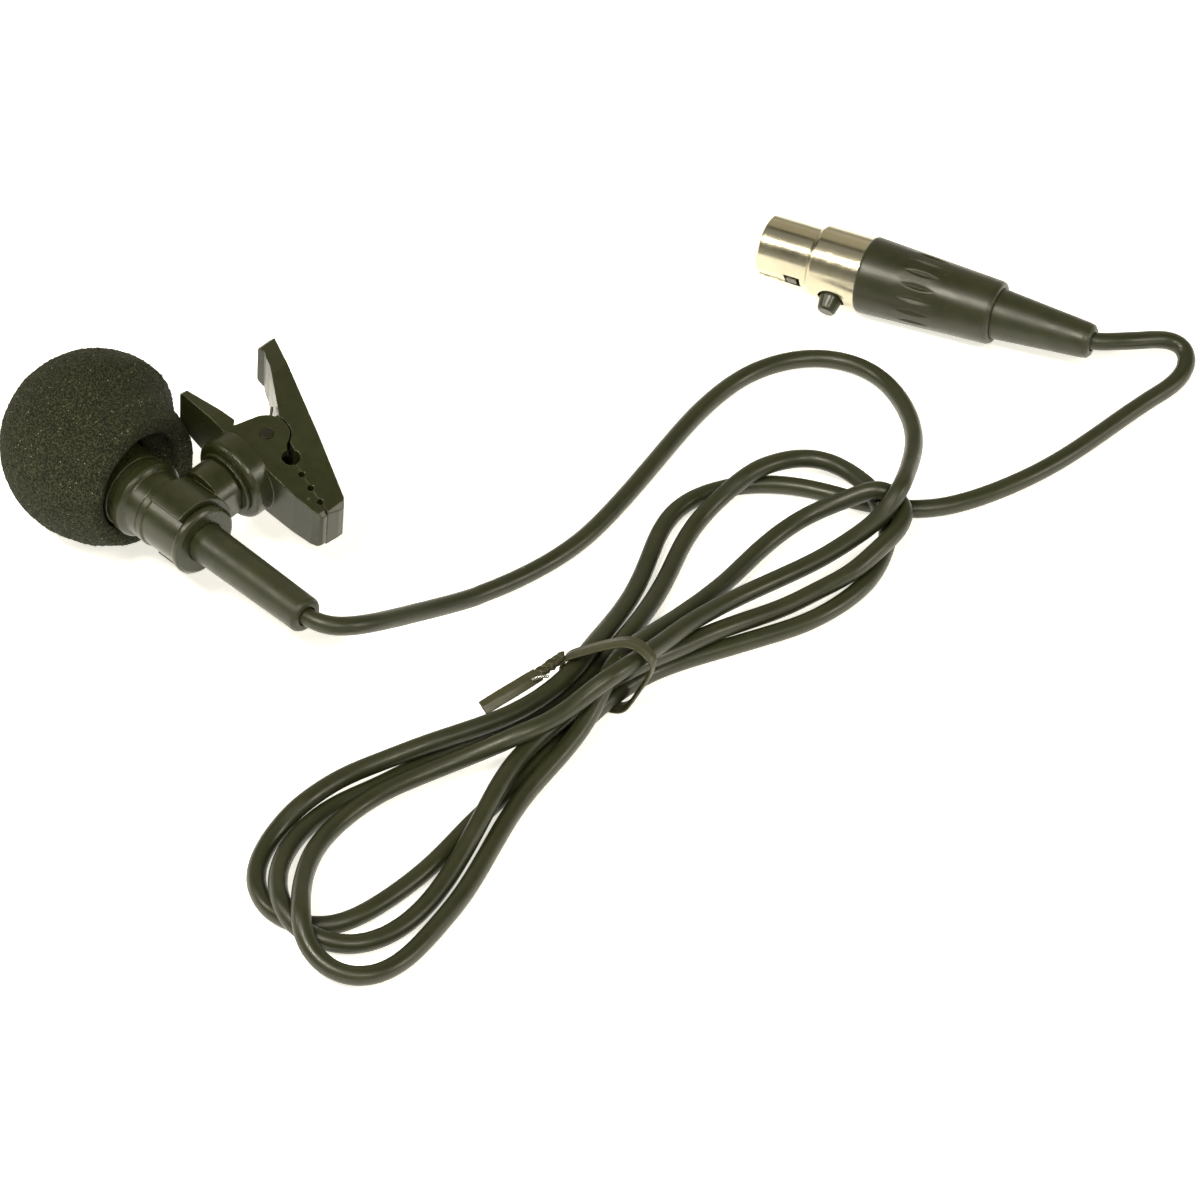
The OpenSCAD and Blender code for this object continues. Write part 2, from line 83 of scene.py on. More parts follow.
def lay_cord(step=1.0, iters=420):
    """Lays the cord on the surface: each run rests on those under it, in the order of the ranks."""
    P, rank, free = [], [], []
    for pts, k in SEG:
        for q in pts:
            P.append([q[0], q[1], q[3] if len(q) > 3 else 1.2])
            rank.append(q[2] if len(q) > 2 else k)
            free.append(0.0 if len(q) > 3 else 1.0)
    P, rank, free = np.array(P, float), np.array(rank, float), np.array(free, float)
    n = len(P)
    L = np.r_[0, np.cumsum(np.linalg.norm(np.diff(P, axis=0), axis=1))]
    T = np.zeros_like(P)
    for i in range(n):
        a, b = max(i - 1, 0), min(i + 1, n - 1)
        if 0 < i < n - 1:
            h0, h1 = L[i] - L[i - 1], L[i + 1] - L[i]
            T[i] = ((P[i] - P[i - 1]) / h0 * h1 + (P[i + 1] - P[i]) / h1 * h0) / (h0 + h1)
        else:
            T[i] = (P[b] - P[a]) / (L[b] - L[a])
    N = int(round(L[-1] / step))
    s = np.linspace(0, L[-1], N + 1)
    i = np.clip(np.searchsorted(L, s, side="right") - 1, 0, n - 2)
    h = (L[i + 1] - L[i])[:, None]
    t = ((s - L[i])[:, None]) / h
    Q = ((2*t**3 - 3*t**2 + 1) * P[i] + (t**3 - 2*t**2 + t) * h * T[i]
         + (-2*t**3 + 3*t**2) * P[i + 1] + (t**3 - t**2) * h * T[i + 1])
    t = t[:, 0]
    t = t * t * (3 - 2 * t)
    rk, fr = rank[i] * (1 - t) + rank[i + 1] * t, free[i] * (1 - t) + free[i + 1] * t

    def soft(X, sig=2.2):
        k = int(3 * sig / step)
        w = np.exp(-0.5 * (np.arange(-k, k + 1) * step / sig) ** 2)
        w /= w.sum()
        E = np.r_[2 * X[0] - X[k:0:-1], X, 2 * X[-1] - X[-2:-k - 2:-1]]
        return np.stack([np.convolve(E[:, c], w, "valid") for c in range(3)], 1)

    G = soft(Q)
    Q = 2 * G - soft(G)
    Q[0], Q[-1] = P[0], P[-1]
    # the tie draws the runs together
    c0, e = np.array([56.6, 23.4]), np.array([0.898, 0.440])
    dl = (Q[:, :2] - c0) @ np.array([-e[1], e[0]])
    ds = (Q[:, :2] - c0) @ e
    w = np.exp(-(dl / 8.0) ** 2) * (np.abs(ds) < 12)
    Q[:, :2] += (w * (-0.28 * ds - 1.5))[:, None] * e
    base = Q.copy()
    sh = np.array([0.735, -0.730])          # a raised run lies this much further to the near side
    Z = Q[:, 2] + (5 - rk) * 0.9 * fr
    gap, I, fl = int(5 / step), np.arange(len(Q)), R + 0.03
    for it in range(iters):
        if it % 8 == 0:
            Q[:, :2] = base[:, :2] + sh * (Z - base[:, 2])[:, None] * fr[:, None]
            d2 = ((Q[:, None, :2] - Q[None, :, :2]) ** 2).sum(2)
            a, b = np.where((d2 < D * D) & (I[None, :] - I[:, None] > gap))
            k_ = np.abs(rk[a] - rk[b]) > 0.45
            a, b = a[k_], b[k_]
            need = np.sqrt(np.maximum(0, D * D - d2[a, b]))
            top, low = np.where(rk[a] <= rk[b], a, b), np.where(rk[a] <= rk[b], b, a)
        Z = Z - 0.05 * fr
        for k, w in ((1, 0.5), (2, 0.4), (4, 0.25)):
            m = (Z[2 * k:] + Z[:-2 * k]) / 2 - Z[k:-k]
            Z[k:-k] += m * w * fr[k:-k]
        for rep in range(2):
            lack = need - (Z[top] - Z[low])
            hit = lack > 0
            up = np.zeros(len(Z))
            np.maximum.at(up, top[hit], lack[hit] * 0.85)
            Z = Z + up * fr
            lack = need - (Z[top] - Z[low])
            hit = lack > 0
            dn = np.zeros(len(Z))
            np.maximum.at(dn, low[hit], lack[hit] * 0.3)
            Z = Z - dn * fr
            Z = np.where(fr > 0.02, np.maximum(Z, fl), Z)
    Q[:, :2] = base[:, :2] + sh * (Z - base[:, 2])[:, None] * fr[:, None]
    Q[:, 2] = Z
    for it in range(60):
        if it % 10 == 0:
            d2 = ((Q[:, None] - Q[None]) ** 2).sum(2)
            a, b = np.where((d2 < (1.15 * D) ** 2) & (I[None, :] - I[:, None] > gap))
        v = Q[b] - Q[a]
        d = np.linalg.norm(v, axis=1) + 1e-9
        lack = np.maximum(0, D * 1.002 - d)
        push = v / d[:, None] * (lack * 0.5)[:, None]
        acc, cnt = np.zeros_like(Q), np.full(len(Q), 1e-9)
        np.add.at(acc, b, push)
        np.add.at(acc, a, -push)
        h_ = (lack > 0) * 1.0
        np.add.at(cnt, a, h_)
        np.add.at(cnt, b, h_)
        mv = acc / np.maximum(1, cnt)[:, None]
        for r in range(3):
            mv[1:-1] = 0.5 * mv[1:-1] + 0.25 * (mv[2:] + mv[:-2])
        Q = Q + mv * 1.2 * fr[:, None]
        Q[:, 2] = np.where(fr > 0.02, np.maximum(Q[:, 2], fl), Q[:, 2])
        Q[1:-1] += 0.12 * ((Q[2:] + Q[:-2]) / 2 - Q[1:-1]) * fr[1:-1, None]
    return Q


def finer(Q, k):
    """Catmull-Rom through the points, k steps to a span."""
    E = np.r_[[2 * Q[0] - Q[1]], Q, [2 * Q[-1] - Q[-2]]]
    out = []
    for j in range(k):
        t = j / k
        a, b, c, d = E[:-3], E[1:-2], E[2:-1], E[3:]
        out.append(0.5 * (2*b + (c - a)*t + (2*a - 5*b + 4*c - d)*t*t + (3*b - a - 3*c + d)*t**3))
    return np.r_[np.stack(out, 1).reshape(-1, 3), Q[-1:]]


CORD = lay_cord()
CORD_M = (finer(CORD, 2) + SHIFT) * MM


# ------------------------------------------------------------------ materials
class Tree:
    def __init__(self, name):
        self.mat = bpy.data.materials.new(name)
        self.mat.use_nodes = True
        self.t = self.mat.node_tree
        self.bsdf = self.t.nodes["Principled BSDF"]
        self.co = self.t.nodes.new("ShaderNodeTexCoord").outputs["Object"]

    def node(self, kind, **props):
        n = self.t.nodes.new(kind)
        for k, v in props.items():
            setattr(n, k, v)
        return n

    def link(self, a, b):
        self.t.links.new(a, b)

    def put(self, socket, value):
        if isinstance(value, bpy.types.NodeSocket):
            self.link(value, socket)
        else:
            socket.default_value = value

    def noise(self, scale, detail=3.0, rough=0.5, co=None, dist=0.0):
        n = self.node("ShaderNodeTexNoise")
        self.link(co or self.co, n.inputs["Vector"])
        n.inputs["Scale"].default_value = scale
        n.inputs["Detail"].default_value = detail
        n.inputs["Roughness"].default_value = rough
        n.inputs["Distortion"].default_value = dist
        return n.outputs["Fac"]

    def cells(self, scale, feature="F1", rand=1.0, co=None):
        n = self.node("ShaderNodeTexVoronoi", feature=feature)
        self.link(co or self.co, n.inputs["Vector"])
        n.inputs["Scale"].default_value = scale
        n.inputs["Randomness"].default_value = rand
        return n.outputs["Distance"]

    def ramp(self, fac, stops):
        n = self.node("ShaderNodeValToRGB")
        self.link(fac, n.inputs["Fac"])
        e = n.color_ramp.elements
        while len(e) < len(stops):
            e.new(0.5)
        for el, (pos, col) in zip(e, stops):
            el.position = pos
            el.color = (*col, 1) if len(col) == 3 else col
        return n.outputs["Color"]

    def span(self, fac, lo, hi, a=0.0, b=1.0):
        n = self.node("ShaderNodeMapRange")
        self.link(fac, n.inputs["Value"])
        for k, v in (("From Min", lo), ("From Max", hi), ("To Min", a), ("To Max", b)):
            n.inputs[k].default_value = v
        return n.outputs["Result"]

    def math(self, op, a, b=0.0):
        n = self.node("ShaderNodeMath", operation=op)
        self.put(n.inputs[0], a)
        self.put(n.inputs[1], b)
        return n.outputs[0]

    def mix(self, fac, a, b):
        n = self.node("ShaderNodeMix", data_type="RGBA")
        self.put(n.inputs["Factor"], fac)
        self.put(n.inputs[6], a if isinstance(a, bpy.types.NodeSocket) else (*a, 1))
        self.put(n.inputs[7], b if isinstance(b, bpy.types.NodeSocket) else (*b, 1))
        return n.outputs[2]

    def moved(self, rot=(0, 0, 0), scale=(1, 1, 1)):
        n = self.node("ShaderNodeMapping")
        self.link(self.co, n.inputs["Vector"])
        n.inputs["Rotation"].default_value = rot
        m = self.node("ShaderNodeMapping")
        self.link(n.outputs[0], m.inputs["Vector"])
        m.inputs["Scale"].default_value = scale
        return m.outputs[0]

    def bump(self, height, strength, distance, normal=None):
        n = self.node("ShaderNodeBump")
        self.link(height, n.inputs["Height"])
        n.inputs["Strength"].default_value = strength
        n.inputs["Distance"].default_value = distance
        if normal is not None:
            self.link(normal, n.inputs["Normal"])
        return n.outputs["Normal"]

    def soft_edges(self, radius):
        n = self.node("ShaderNodeBevel")
        n.samples = 6
        n.inputs["Radius"].default_value = radius
        return n.outputs["Normal"]

    def edge(self, bevelled):
        """0 on flat faces, rising to 1 along edges."""
        g = self.node("ShaderNodeNewGeometry")
        d = self.node("ShaderNodeVectorMath", operation="DOT_PRODUCT")
        self.link(bevelled, d.inputs[0])
        self.link(g.outputs["Normal"], d.inputs[1])
        return self.span(d.outputs["Value"], 1.0, 0.86)

    def done(self, colour, rough, normal=None, metal=0.0, ior=1.5, coat=0.0, sheen=0.0, coat_rough=0.2):
        b = self.bsdf.inputs
        self.put(b["Base Color"], colour if isinstance(colour, bpy.types.NodeSocket) else (*colour, 1))
        self.put(b["Roughness"], rough)
        b["Metallic"].default_value = metal
        b["IOR"].default_value = ior
        b["Coat Weight"].default_value = coat
        b["Coat Roughness"].default_value = coat_rough
        b["Sheen Weight"].default_value = sheen
        b["Sheen Roughness"].default_value = 0.5
        if normal is not None:
            self.link(normal, b["Normal"])
        return self.mat


def tone(c, k):
    return tuple(min(1.0, x * k) for x in c)


def plastic(name, base, rough=(0.34, 0.46), grain=2600, grain_k=0.10, edge_r=0.00028, edge_wear_and_highlight_tone=1.7, ior=1.48):
    m = Tree(name)
    big = m.noise(110, 4, 0.6)
    small = m.noise(900, 3)
    col = m.ramp(m.math("ADD", m.math("MULTIPLY", big, 0.6), m.math("MULTIPLY", small, 0.4)),
                 [(0.30, tone(base, 0.75)), (0.70, tone(base, 1.3))])
    bev = m.soft_edges(edge_r)
    # edges lightened in colour: partly edge wear, partly a painted highlight along the edges
    edge_wear_and_highlight = m.math("MULTIPLY", m.edge(bev), m.span(m.noise(700, 4), 0.4, 0.62))
    col = m.mix(m.math("MULTIPLY", edge_wear_and_highlight, 0.8), col, tone(base, edge_wear_and_highlight_tone * 2))
    dust = m.span(m.cells(420), 0.10, 0.04)
    dust = m.math("MULTIPLY", dust, m.span(m.noise(140, 2), 0.55, 0.70))
    col = m.mix(m.math("MULTIPLY", dust, 0.5), col, (0.30, 0.29, 0.23))
    r = m.span(m.noise(260, 5, 0.65), 0.3, 0.7, *rough)
    n = m.bump(m.noise(grain, 3, 0.6), grain_k, 0.00004, bev)
    return m.done(col, r, n, ior=ior)


BLACK = (0.0185, 0.0208, 0.0068)

MAT = {}
MAT["black_plastic"] = plastic("satin_black", BLACK, rough=(0.25, 0.36))
MAT["shell_plastic"] = plastic("shell_black", (0.0190, 0.0205, 0.0075), rough=(0.32, 0.44), grain=3400)
MAT["insert_plastic"] = plastic("insert_black", (0.018, 0.018, 0.014), rough=(0.5, 0.6))
MAT["relief_rubber"] = None


def relief():
    m = Tree("ribbed_relief")
    base = (0.0185, 0.0208, 0.0068)
    col = m.ramp(m.noise(300, 5, 0.6), [(0.3, tone(base, 0.75)), (0.72, tone(base, 1.35))])
    bev = m.soft_edges(0.00015)
    streak = m.noise(60, 4, 0.6, m.moved((0, 0, 0), (4, 45, 45)))
    fine = m.noise(1500, 3, 0.6)
    h = m.math("ADD", m.math("MULTIPLY", streak, 0.8), m.math("MULTIPLY", fine, 0.35))
    return m.done(col, m.span(m.noise(500, 3), 0.3, 0.7, 0.36, 0.50), m.bump(h, 0.16, 0.00008, bev))


MAT["relief_rubber"] = relief()


def jacket():
    m = Tree("cord_jacket")
    base = (0.0185, 0.0208, 0.0068)
    col = m.ramp(m.noise(160, 5, 0.6), [(0.28, tone(base, 0.78)), (0.75, tone(base, 1.25))])
    dust = m.math("MULTIPLY", m.span(m.cells(500), 0.09, 0.03), m.span(m.noise(190, 2), 0.56, 0.66))
    col = m.mix(m.math("MULTIPLY", dust, 0.6), col, (0.32, 0.31, 0.24))
    h = m.math("ADD", m.math("MULTIPLY", m.noise(420, 3), 0.7), m.math("MULTIPLY", m.noise(3000, 2), 0.3))
    return m.done(col, m.span(m.noise(350, 4, 0.6), 0.3, 0.7, 0.33, 0.45), m.bump(h, 0.10, 0.00006))


MAT["cord_jacket"] = jacket()


def foam_material():
    m = Tree("open_cell_foam")
    pores = m.cells(4000)
    fine = m.noise(4900, 4, 0.85)
    mott = m.noise(260, 5, 0.62)
    v = m.math("ADD", m.math("MULTIPLY", pores, 0.40), m.math("MULTIPLY", fine, 0.90))
    col = m.ramp(v, [(0.48, (0.0010, 0.0014, 0.0005)), (0.61, (0.0066, 0.0084, 0.0030)), (0.77, (0.044, 0.048, 0.023))])
    col = m.mix(m.span(mott, 0.35, 0.75, 0.0, 0.15), col, (0.012, 0.0155, 0.0060))
    speck = m.math("MULTIPLY", m.span(m.cells(1900), 0.20, 0.09), m.span(m.noise(1500, 2), 0.53, 0.58))
    col = m.mix(m.math("MULTIPLY", speck, 0.85), col, (0.28, 0.31, 0.21))
    h = m.math("ADD", m.math("MULTIPLY", pores, -0.6), m.math("MULTIPLY", fine, 1.0))
    return m.done(col, m.span(fine, 0.3, 0.7, 0.70, 0.95), m.bump(h, 0.8, 0.00016), sheen=0.0, ior=1.30)


MAT["foam"] = foam_material()


def metal(name, base, rough, axis_turn=0.0, lines=True, grime=0.25):
    m = Tree(name)
    co = m.moved((0, 0, -axis_turn), (60, 1.2, 1.2)) if lines else None
    lathe = m.noise(60, 4, 0.7, co) if lines else m.noise(900, 4, 0.6)
    cloud = m.noise(130, 5, 0.6)
    col = m.ramp(cloud, [(0.3, tone(base, 1 - grime * 0.5)), (0.7, tone(base, 1.06))])
    bev = m.soft_edges(0.00012)
    r = m.math("ADD", m.span(m.noise(500, 4, 0.7), 0.3, 0.7, rough[0], rough[1]), m.span(lathe, 0.35, 0.65, -0.02, 0.03))
    return m.done(col, r, m.bump(lathe, 0.05, 0.00003, bev), metal=1.0)


PLUG_TURN = math.radians(19.8)
MAT["nickel"] = metal("warm_nickel", (0.61, 0.565, 0.43), (0.17, 0.25), PLUG_TURN)
MAT["steel"] = metal("plain_steel", (0.50, 0.49, 0.46), (0.26, 0.36), 0, False)
MAT["black_steel"] = metal("blackened_steel", (0.07, 0.07, 0.055), (0.34, 0.44), 0, False)
MAT["tie_steel"] = metal("bare_wire", (0.82, 0.81, 0.77), (0.16, 0.24), 0, False)
MAT["gilt_brass"] = metal("gilt_brass", (0.83, 0.60, 0.24), (0.20, 0.28), PLUG_TURN)
MAT["aluminium_can"] = metal("aluminium_can", (0.78, 0.78, 0.76), (0.28, 0.38), 0)


def cloth():
    m = Tree("acoustic_cloth")
    w1 = m.node("ShaderNodeTexWave", bands_direction="Y")
    w2 = m.node("ShaderNodeTexWave", bands_direction="Z")
    for w in (w1, w2):
        m.link(m.co, w.inputs["Vector"])
        w.inputs["Scale"].default_value = 900
        w.inputs["Distortion"].default_value = 0.6
    h = m.math("MAXIMUM", w1.outputs["Fac"], w2.outputs["Fac"])
    col = m.ramp(h, [(0.2, (0.012, 0.012, 0.012)), (0.9, (0.055, 0.055, 0.052))])
    return m.done(col, 0.85, m.bump(h, 0.5, 0.0001), sheen=0.2)


MAT["cloth"] = cloth()
MAT["soft_rubber"] = plastic("gasket_rubber", (0.045, 0.045, 0.042), rough=(0.6, 0.75), grain=1800, grain_k=0.2)
MAT["circuit_board"] = plastic("board_lacquer", (0.02, 0.14, 0.05), rough=(0.2, 0.35), grain=1500, grain_k=0.12)
MAT["wire_insulation"] = plastic("wire_red", (0.42, 0.035, 0.02), rough=(0.3, 0.4), grain=1500, grain_k=0.08)
MAT["tie_film"] = plastic("tie_film", (0.038, 0.038, 0.016), rough=(0.34, 0.48), grain=1400, grain_k=0.16, edge_r=0.0001, edge_wear_and_highlight_tone=1.3)

slot_of = {s["node"]: s["material_slot"] for s in frame["record"]["subparts"]}


def paint(o, slot_name):
    o.data.materials.clear()
    o.data.materials.append(MAT[slot_name])


for name, o in NODES.items():
    paint(o, slot_of[name])
# the lever lies in the shade of the barrel; its nickel is painted darker here as painted shade
NODES["latch_lever"].data.materials.clear()
NODES["latch_lever"].data.materials.append(metal("shade_painted_nickel", (0.10, 0.095, 0.07), (0.34, 0.44), 0, False))


# ------------------------------------------------------------------ mesh helpers
def new_mesh(name, verts, faces, body, slot_name, smooth=True):
    me = bpy.data.meshes.new(name)
    me.from_pydata([tuple(v) for v in verts], [], [tuple(f) for f in faces])
    me.validate()
    me.update()
    if smooth:
        me.polygons.foreach_set("use_smooth", [True] * len(me.polygons))
    o = bpy.data.objects.new(name, me)
    scene.collection.objects.link(o)
    paint(o, slot_name)
    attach(o, body)
    return o


def outward(o):
    bm = bmesh.new()
    bm.from_mesh(o.data)
    bmesh.ops.recalc_face_normals(bm, faces=bm.faces)
    bm.to_mesh(o.data)
    bm.free()
    return o


def grid_faces(nu, nv, close_v=True, flip=False):
    f = []
    for i in range(nu - 1):
        for j in range(nv if close_v else nv - 1):
            a, b = i * nv + j, i * nv + (j + 1) % nv
            c, d = b + nv, a + nv
            f.append((a, b, c, d) if not flip else (a, d, c, b))
    return f


def swept(path, section, body, name, slot_name, ups=None, closed=False, scales=None):
    """A section (list of (side, up) in mm) swept along a path in mm in the part's frame."""
    P = np.array(path, float)
    n = len(P)
    T = np.zeros_like(P)
    for i in range(n):
        a, b = (P[(i - 1) % n], P[(i + 1) % n]) if closed else (P[max(0, i - 1)], P[min(n - 1, i + 1)])
        T[i] = (b - a) / (np.linalg.norm(b - a) + 1e-12)
    V = []
    for i in range(n):
        up = np.array(ups[i] if ups is not None else (0, 0, 1), float)
        side = np.cross(T[i], up)
        side /= np.linalg.norm(side) + 1e-12
        up = np.cross(side, T[i])
        k = 1.0 if scales is None else scales[i]
        for s, u in section:
            V.append((P[i] + (side * s + up * u) * k) * MM)
    m = len(section)
    F = grid_faces(n, m)
    if closed:
        for j in range(m):
            a, b = (n - 1) * m + j, (n - 1) * m + (j + 1) % m
            F.append((a, b, (j + 1) % m, j))
    else:
        F.append(tuple(range(m))[::-1])
        F.append(tuple((n - 1) * m + j for j in range(m)))
    return outward(new_mesh(name, V, F, body, slot_name))


# ------------------------------------------------------------------ the cord
def make_cord():
    cu = bpy.data.curves.new("cord", "CURVE")
    cu.dimensions = "3D"
    sp = cu.splines.new("POLY")
    sp.points.add(len(CORD_M) - 1)
    for p, c in zip(sp.points, CORD_M):
        p.co = (*c, 1)
    sp.use_smooth = True
    cu.bevel_depth = R * MM
    cu.bevel_resolution = 5
    cu.use_fill_caps = True
    cu.twist_mode = "Z_UP"
    o = bpy.data.objects.new("cord", cu)
    scene.collection.objects.link(o)
    cu.materials.append(MAT["cord_jacket"])
    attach(o, "microphone")
    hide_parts("cord_mic_lead", "cord_hank", "cord_plug_lead")
    return o


cord = make_cord()


# ------------------------------------------------------------------ foam windscreen
MIC_Y, MIC_Z = -7.1, 11.8


def foam():
    """The cover sits a little crooked on the head: its ball is set off sideways, its bore is not."""
    r0, off, cx = 12.0, np.array([1.6, 0.65]), -10.5 - 4.8
    rows = []                                      # (x, radius about the ball's axis, weight of the cells, share of the offset)
    for a in np.radians(np.linspace(180, 50, 116)):
        rows.append((cx + (r0 if a > math.pi / 2 else 14.6) * math.cos(a), r0 * math.sin(a), 1.0, 1.0))
    outer = len(rows)
    x1, r1 = rows[-1][0], rows[-1][1]
    for t in np.linspace(0, 1, 15)[1:]:            # rounded lip, rolling into the mouth
        a = math.pi * t
        rows.append((x1 + 0.9 * math.sin(a) * (1 - 0.3 * t), r1 - (r1 - 6.7) * (1 - math.cos(a)) / 2, 0.7, 1.0 - 0.10 * t))
    for t in np.linspace(0, 1, 12)[1:]:            # the mouth narrows to the bore
        e = t * t * (3 - 2 * t)
        rows.append((x1 - 0.2 - 4.6 * t, 6.7 - 1.32 * e, 0.4, 0.9 * (1 - e)))
    x2 = rows[-1][0]
    for x in np.linspace(x2, -4.8 - 11.7, 14)[1:]:
        rows.append((x, 5.38, 0.2, 0.0))
    for r in np.linspace(5.0, 0.0, 9):
        rows.append((-4.8 - 11.75, r, 0.1, 0.0))
    rows = np.array(rows)
    nt = 300
    th = np.linspace(0, 2 * np.pi, nt, endpoint=False)
    X, Rr, K, S = (rows[:, k][:, None] for k in range(4))
    P3 = np.zeros((len(rows), nt, 3))
    P3[:, :, 0] = X
    P3[:, :, 1] = MIC_Y + Rr * np.cos(th) + off[0] * S
    P3[:, :, 2] = MIC_Z + Rr * np.sin(th) * np.interp(rows[:, 1], [8.0, 11.5], [1.0, 1.03])[:, None] + off[1] * S
    # the mouth faces a little to one side, so the lip stands further back there
    w = np.zeros(len(rows))
    w[outer - 48:outer] = np.linspace(0, 1, 48) ** 1.5
    w[outer:outer + 14] = 1.0
    w[outer + 14:outer + 25] = np.linspace(1, 0, 12)[1:]
    side = (0.5 + 0.5 * np.cos(th - math.radians(15))) ** 1.5
    P3[:, :, 0] += w[:, None] * (-1.25 * side)
    m = np.zeros(len(rows))
    m[outer:outer + 14] = np.linspace(0, 1, 14)
    m[outer + 14:outer + 25] = np.linspace(1, 0, 12)[1:]
    pull = 1 - m[:, None] * 0.09 * side
    P3[:, :, 1] = MIC_Y + off[0] * S + (P3[:, :, 1] - MIC_Y - off[0] * S) * pull
    P3[:, :, 2] = MIC_Z + off[1] * S + (P3[:, :, 2] - MIC_Z - off[1] * S) * pull
    # beside the clip the ball is pressed in, within the round that the clip sweeps
    yy, zz = P3[:, :, 1] - MIC_Y, P3[:, :, 2] - MIC_Z
    rad = np.hypot(yy, zz) + 1e-9
    xr = P3[:, :, 0] + 4.8
    cap = np.interp(xr, [-14.0, -10.5, -7.6, -6.3, -4.0, -1.0, 0.5, 1.2], [30.0, 14.6, 12.0, 11.3, 10.85, 9.8, 8.7, 7.9])
    lim = np.where(rad > cap, cap + 0.15 * np.tanh((rad - cap) / 3.0), rad)
    k = np.where(np.arange(len(rows))[:, None] < outer + 8, lim / rad, 1.0)
    P3[:, :, 1], P3[:, :, 2] = MIC_Y + yy * k, MIC_Z + zz * k
    P3[:, :, 2] = np.maximum(P3[:, :, 2], 0.16)
    # open cells
    du = np.gradient(P3, axis=0)
    dv = np.roll(P3, -1, axis=1) - np.roll(P3, 1, axis=1)
    N = np.cross(dv, du)
    N /= np.linalg.norm(N, axis=2)[:, :, None] + 1e-9
    if (N[40] * (P3[40] - np.array([cx, MIC_Y, MIC_Z]))).sum() < 0:
        N = -N
    for i in range(len(rows)):
        for j in range(nt):
            p = Vector(P3[i, j])
            d = noise.voronoi(p * 2.3)[0][0]
            h = (0.40 - min(d, 0.75)) * 0.20 + noise.noise(p * 4.5) * 0.11 + noise.noise(p * 0.33) * 0.10 - 0.08
            P3[i, j] += N[i, j] * h * rows[i, 2]
    P3[:, :, 2] = np.maximum(P3[:, :, 2], 0.02)
    o = new_mesh("foam_cover", P3.reshape(-1, 3) * MM, grid_faces(len(rows), nt), "windscreen", "foam")
    bm = bmesh.new()
    bm.from_mesh(o.data)
    bmesh.ops.remove_doubles(bm, verts=bm.verts, dist=1e-7)
    bmesh.ops.recalc_face_normals(bm, faces=bm.faces)
    bm.to_mesh(o.data)
    bm.free()
    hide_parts("foam_windscreen")
    return o


foam_piece = foam()


# ------------------------------------------------------------------ wire tie
def hull2(p):
    p = sorted(map(tuple, p))

    def half(q):
        out = []
        for a in q:
            while len(out) > 1 and ((out[-1][0] - out[-2][0]) * (a[1] - out[-2][1]) - (out[-1][1] - out[-2][1]) * (a[0] - out[-2][0])) <= 0:
                out.pop()
            out.append(a)
        return out[:-1]

    return np.array(half(p) + half(p[::-1]))


RIBBON = [(-0.98, -0.08), (-0.90, -0.13), (-0.36, -0.13), (-0.20, -0.25), (0.0, -0.30), (0.20, -0.25), (0.36, -0.13), (0.90, -0.13), (0.98, -0.08),
          (0.98, 0.08), (0.90, 0.13), (0.36, 0.13), (0.20, 0.25), (0.0, 0.30), (-0.20, 0.25), (-0.36, 0.13), (-0.90, 0.13), (-0.98, 0.08)]


